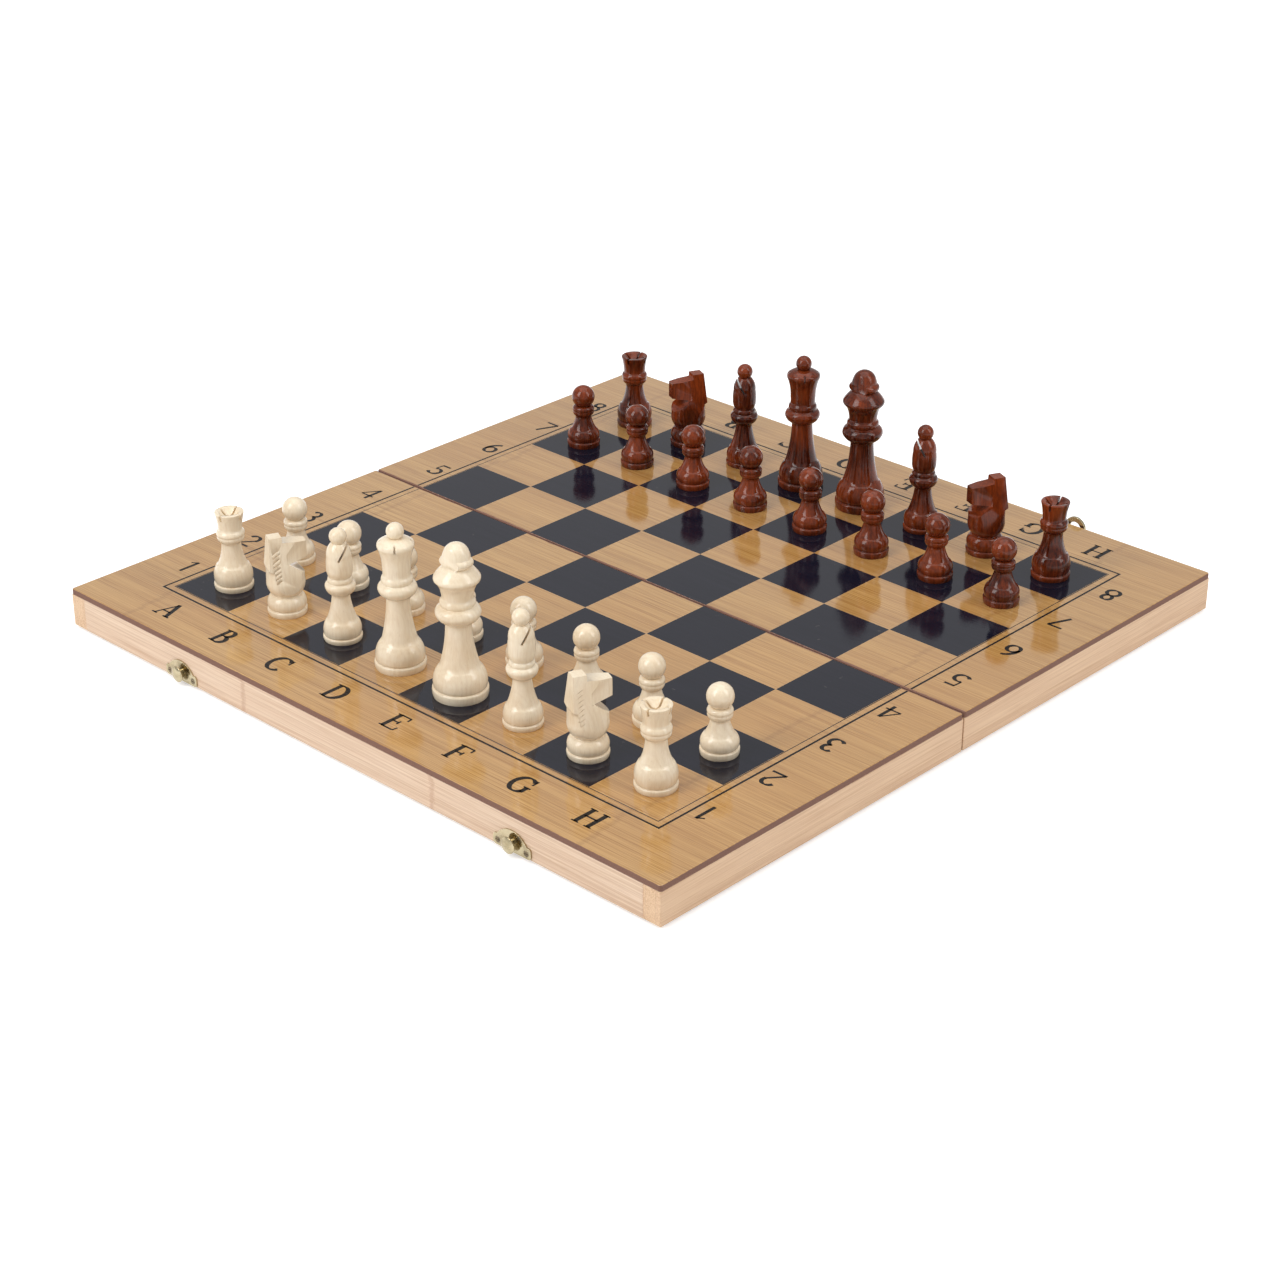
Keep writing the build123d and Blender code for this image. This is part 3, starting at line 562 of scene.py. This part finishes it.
def rail_material(name, turn, dark, light):
    """Pale pressed bamboo with lengthwise strips, node marks and a satin finish."""
    material, shader, surface = new_material(name, Specular_IOR_Level=0.25)
    place = object_place(shader, turn)
    lying = object_place(shader, (turn[0] + math.pi / 2, turn[1], turn[2]))
    fibre = shader.group(FIBRE, Vector=place, Along=16.0, Across=1300.0)
    strips = shader.group(STRIPS, Vector=lying, Width=0.0058, Spacing=0.13)
    edges = shader.group(EDGES, Vector=place, Radius=0.0009)
    wood = shader.mix(fibre["Streak"], dark, light)
    wood = shader.mix(shader.math("MULTIPLY", fibre["Figure"], 0.40), wood, light)
    wood = shader.mix(shader.math("MULTIPLY", strips["Tone"], 0.35), wood, (0.72, 0.480, 0.330, 1))
    wood = shader.mix(shader.math("MULTIPLY", fibre["Pore"], 0.30), wood, (0.42, 0.230, 0.130, 1))
    wood = shader.mix(shader.math("MULTIPLY", strips["Joint"], 0.35), wood, (0.45, 0.260, 0.160, 1))
    wood = shader.mix(shader.math("MULTIPLY", strips["Node"], 0.45), wood, (0.52, 0.300, 0.190, 1))
    colour = shader.mix(shader.math("MULTIPLY", edges["Rub"], 0.30), wood, (0.50, 0.320, 0.220, 1))
    rough = shader.math("ADD", 0.38, shader.math("MULTIPLY", fibre["Streak"], 0.14))
    feed(shader, surface, Base_Color=colour, Roughness=rough)
    bump(shader, surface, shader.math("SUBTRACT", fibre["Streak"], strips["Joint"]), RAIL_RELIEF)
    return material


def man_material(name, dark, light, ring, pore, gloss, ring_share, coat, shine):
    """Turned wood: upright fibre, growth rings cut by the turning, fine tool marks and a lacquer coat."""
    material, shader, surface = new_material(
        name, Coat_Weight=coat, Coat_Roughness=0.05, Specular_IOR_Level=shine
    )
    place = object_place(shader, (0.0, math.pi / 2, 0.0))
    fibre = shader.group(FIBRE, Vector=place, Along=70.0, Across=900.0)
    film = shader.group(FILM, Vector=place)
    edges = shader.group(EDGES, Vector=place, Radius=0.0007)
    across = shader.add("ShaderNodeSeparateXYZ", {0: place}).outputs[1]
    drift = shader.math("MULTIPLY", shader.noise(place, 45.0, 3.0), 0.012)
    rings = shader.math("SINE", shader.math("MULTIPLY", shader.math("ADD", across, drift), RING_PITCH))
    rings = shader.band(rings, 0.1, 1.0)
    blotch = shader.band(shader.noise(place, 42.0, 3.0), 0.36, 0.64)
    streaked = shader.math("MULTIPLY", fibre["Streak"], 0.4)
    tone = shader.math("ADD", streaked, shader.math("MULTIPLY", blotch, 0.6))
    wood = shader.mix(tone, dark, light)
    wood = shader.mix(shader.math("MULTIPLY", rings, ring_share), wood, ring)
    wood = shader.mix(shader.math("MULTIPLY", fibre["Pore"], 0.22), wood, pore)
    colour = shader.mix(shader.math("MULTIPLY", edges["Edge"], 0.35), wood, ring)
    rough = shader.math("ADD", gloss, shader.math("MULTIPLY", film["Smear"], 0.08))
    feed(shader, surface, Base_Color=colour, Roughness=rough)
    height = shader.add("ShaderNodeSeparateXYZ", {0: place}).outputs[0]
    tool = shader.math("MULTIPLY", shader.math("SINE", shader.math("MULTIPLY", height, TOOL_PITCH)), 0.12)
    relief = shader.math("ADD", tool, film["Wave"])
    relief = shader.math("ADD", relief, shader.math("MULTIPLY", fibre["Streak"], 0.3))
    bump(shader, surface, relief, MAN_RELIEF)
    return material


def metal_material(name, bright, dull, rubbed):
    """Thin plating: bright on rubbed edges, dull and brown elsewhere in patches."""
    material, shader, surface = new_material(name, Metallic=1.0)
    place = object_place(shader)
    edges = shader.group(EDGES, Vector=place, Radius=0.0005)
    stain = shader.band(shader.noise(place, 220.0, 3.0, 0.5), 0.35, 0.75)
    colour = shader.mix(stain, bright, dull)
    colour = shader.mix(shader.math("MULTIPLY", edges["Edge"], 0.7), colour, rubbed)
    stretch = {"Vector": place, "Scale": (300.0, 4000.0, 4000.0)}
    brushed = shader.add("ShaderNodeMapping", stretch).outputs[0]
    marks = shader.noise(brushed, 1.0, 3.0)
    rough = shader.math("ADD", 0.14, shader.math("MULTIPLY", stain, 0.22))
    feed(shader, surface, Base_Color=colour, Roughness=rough)
    bump(shader, surface, marks, METAL_RELIEF)
    return material


ALONG_X = (0.0, 0.0, 0.0)
ALONG_Y = (0.0, 0.0, -math.pi / 2)
BRASS = metal_material("plated_brass", (0.50, 0.43, 0.28, 1), (0.34, 0.28, 0.17, 1), (0.80, 0.73, 0.54, 1))
SCREW = metal_material("dull_screw", (0.20, 0.16, 0.10, 1), (0.11, 0.08, 0.05, 1), (0.34, 0.29, 0.20, 1))
INLAY = inlay_material()
INK = ink_material()
VENEER = veneer_material()
CROSS_RAIL = rail_material(
    "bamboo_cross_rail", ALONG_X, (0.61, 0.405, 0.265, 1), (0.82, 0.630, 0.470, 1)
)
SIDE_RAIL = rail_material(
    "bamboo_side_rail", ALONG_Y, (0.60, 0.365, 0.205, 1), (0.84, 0.605, 0.395, 1)
)
PALE = man_material(
    "pale_turned_wood", (0.79, 0.63, 0.43, 1), (0.90, 0.78, 0.59, 1), (0.66, 0.49, 0.31, 1),
    (0.60, 0.43, 0.27, 1), gloss=0.18, ring_share=0.12, coat=0.3, shine=0.4,
)
RED = man_material(
    "red_brown_turned_wood", (0.028, 0.004, 0.002, 1), (0.260, 0.044, 0.009, 1), (0.040, 0.006, 0.003, 1),
    (0.020, 0.004, 0.002, 1), gloss=0.08, ring_share=0.22, coat=0.15, shine=0.25,
)


def material_of(node):
    """The finish of a CAD node, by what it is."""
    if node.startswith("white_"):
        return PALE
    if node.startswith("black_"):
        return RED
    if node.endswith("_panel"):
        return VENEER
    if node.endswith("_dark_squares"):
        return INLAY
    if node.endswith("_border_lines"):
        return INK
    if node.endswith(("left_rail", "right_rail")):
        return SIDE_RAIL
    if node.endswith("_rail"):
        return CROSS_RAIL
    if node.endswith("_screws"):
        return SCREW
    return BRASS


def ease_of(node):
    """Width of the eased edge of a node: none on turned men, flush inlays and screws."""
    if node.startswith(("white_", "black_")):
        return 0.0
    if node.endswith("_rail"):
        return RAIL_EASE
    if node.endswith(("_panel", "_dark_squares", "_border_lines", "_screws")):
        return 0.0
    return METAL_EASE


def knight_strokes(centre, heading):
    """Gouge cuts for a knight's mane: spindles, diamond sections of size sin(pi s) along each stroke.

    On each flank, v = side * thickness(z) / 2, they run in rows from the back edge forward and up.
    """
    s = np.linspace(0, 1, MANE_POINTS)
    swell = np.sin(np.pi * s)
    vertices, faces = [], []
    ring = np.arange(4)
    for side in (-1, 1):
        for row in range(MANE_ROWS):
            start_z = MANE_LOW + row * MANE_STEP
            u = MANE_BACK + MANE_LENGTH * s
            z = start_z + MANE_RISE * s**0.7
            v = side * (FLANK_FOOT - FLANK_SLOPE * (z - FLANK_FOOT_Z))
            middle = np.stack([u, v, z], axis=1)
            corners = [middle + swell[:, None] * np.array(offset) for offset in MANE_DIAMOND]
            base = len(vertices) * 4 * MANE_POINTS
            vertices.append(np.stack(corners, axis=1).reshape(-1, 3))
            step = base + 4 * np.arange(MANE_POINTS - 1)[:, None]
            around = (ring + 1) % 4
            quads = np.stack([step + ring, step + around, step + 4 + around, step + 4 + ring], axis=2)
            faces.append(quads.reshape(-1, 4))
    local = np.concatenate(vertices)
    cos, sin = math.cos(heading), math.sin(heading)
    u, v, z = local.T
    turned = np.stack([u * cos - v * sin, u * sin + v * cos, z], axis=1)
    mesh = bpy.data.meshes.new("mane_gouge")
    mesh.from_pydata((turned + np.array(centre)).tolist(), [], np.concatenate(faces).tolist())
    work = bmesh.new()
    work.from_mesh(mesh)
    bmesh.ops.remove_doubles(work, verts=work.verts, dist=MERGE)
    bmesh.ops.recalc_face_normals(work, faces=work.faces)
    work.to_mesh(mesh)
    work.free()
    return mesh


def engraved(piece, cutter_mesh):
    """Cuts a gouge mesh out of a piece for good, and removes the cutter."""
    cutter = bpy.data.objects.new("gouge", cutter_mesh)
    bpy.context.scene.collection.objects.link(cutter)
    cut = piece.modifiers.new("gouge", "BOOLEAN")
    cut.operation = "DIFFERENCE"
    cut.solver = "EXACT"
    cut.object = cutter
    bpy.context.view_layer.update()
    done = bpy.data.meshes.new_from_object(piece.evaluated_get(bpy.context.evaluated_depsgraph_get()))
    piece.modifiers.remove(cut)
    piece.data = done
    done.set_sharp_from_angle(angle=SMOOTH_ANGLE)
    bpy.data.objects.remove(cutter)


BODY_OF = {node: body for body, nodes in frame["record"]["behaviour"]["bodies"].items() for node in nodes}

for node in sorted(frame["nodes"]):
    piece = finished_copy(node, BODY_OF[node], ease_of(node))
    piece.data.materials.append(material_of(node))
    if node.startswith("white_knight"):
        low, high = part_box(node)
        file = round((low.x + high.x) / 2 / SQUARE - 0.5) + 0.5
        centre = (file * SQUARE, -(SEAM_MARGIN + MIDDLE * SQUARE), TOP_Z)
        engraved(piece, knight_strokes(centre, KNIGHT_HEADING))

for half in ("near", "far"):
    signs = notation(half, half + "_half")
    signs.data.materials.append(INK)


# Studio

def floor():
    """A wide pale floor: white to the camera, with the object's shadow, and clear from below."""
    mesh = bpy.data.meshes.new("floor")
    corners = [(x * FLOOR_REACH, y * FLOOR_REACH, 0) for x, y in ((-1, -1), (1, -1), (1, 1), (-1, 1))]
    mesh.from_pydata(corners, [], [(0, 1, 2, 3)])
    plane = bpy.data.objects.new("floor", mesh)
    plane.location.z = -FLOOR_DROP
    bpy.context.scene.collection.objects.link(plane)
    material, shader, surface = new_material("pale_floor", Base_Color=(0.88, 0.88, 0.88, 1), Roughness=0.9)
    surface["Emission Color"].default_value = (1, 1, 1, 1)
    rays = shader.add("ShaderNodeLightPath").outputs
    seen = shader.math("MAXIMUM", rays["Is Camera Ray"], rays["Is Glossy Ray"])
    place = {0: object_place(shader)}
    away = shader.add("ShaderNodeVectorMath", place, operation="LENGTH").outputs["Value"]
    white = shader.band(away, 0.6, 2.2, *FLOOR_GLOW)
    feed(shader, surface, Emission_Strength=shader.math("MULTIPLY", seen, white))
    behind = shader.add("ShaderNodeNewGeometry").outputs["Backfacing"]
    feed(shader, surface, Alpha=shader.math("SUBTRACT", 1.0, behind))
    mesh.materials.append(material)


def softbox(name, place, size, power):
    """A rectangular lamp that faces the middle of the board."""
    lamp = bpy.data.lights.new(name, "AREA")
    lamp.shape = "RECTANGLE"
    lamp.size, lamp.size_y = size
    lamp.energy = power
    box = bpy.data.objects.new(name, lamp)
    box.location = place
    box.rotation_euler = (Vector((0, 0, 0.03)) - place).to_track_quat("-Z", "Y").to_euler()
    bpy.context.scene.collection.objects.link(box)


def world():
    """An even grey studio that fills the shadows and shows white behind the object."""
    studio = bpy.data.worlds.new("studio")
    studio.use_nodes = True
    shader = Shader(studio.node_tree)
    background = studio.node_tree.nodes["Background"].inputs
    rays = shader.add("ShaderNodeLightPath").outputs
    seen = shader.math("MAXIMUM", rays["Is Camera Ray"], rays["Is Glossy Ray"])
    tint = shader.mix(seen, (0.94, 0.96, 1.0, 1), (1, 1, 1, 1))
    mirrored = shader.band(rays["Is Glossy Ray"], 0.0, 1.0, STUDIO_FILL, STUDIO_MIRRORED)
    feed(shader, background, Color=tint, Strength=shader.math("MAXIMUM", mirrored, rays["Is Camera Ray"]))
    bpy.context.scene.world = studio


def camera():
    """The photograph's viewpoint."""
    data = bpy.data.cameras.new("camera")
    data.lens = CAMERA_LENS
    data.sensor_width = CAMERA_SENSOR
    data.clip_start = 0.01
    eye = bpy.data.objects.new("camera", data)
    eye.location = CAMERA_PLACE
    eye.rotation_euler = CAMERA_AIM.to_track_quat("-Z", "Y").to_euler()
    bpy.context.scene.collection.objects.link(eye)
    bpy.context.scene.camera = eye


TOWARDS_CAMERA = Vector((-CAMERA_AIM.x, -CAMERA_AIM.y, 0)).normalized()
floor()
world()
softbox("left softbox", -1.5 * IMAGE_RIGHT + 0.9 * TOWARDS_CAMERA + Vector((0, 0, 1.3)), (0.9, 1.6), 25.0)
softbox("right softbox", 1.5 * IMAGE_RIGHT + 0.7 * TOWARDS_CAMERA + Vector((0, 0, 1.2)), (0.7, 1.6), 13.0)
softbox("top softbox", Vector((-0.1, 0.1, 2.0)), (2.2, 2.2), 20.0)
camera()
bpy.context.scene.view_settings.view_transform = "Standard"

bpy.context.view_layer.update()
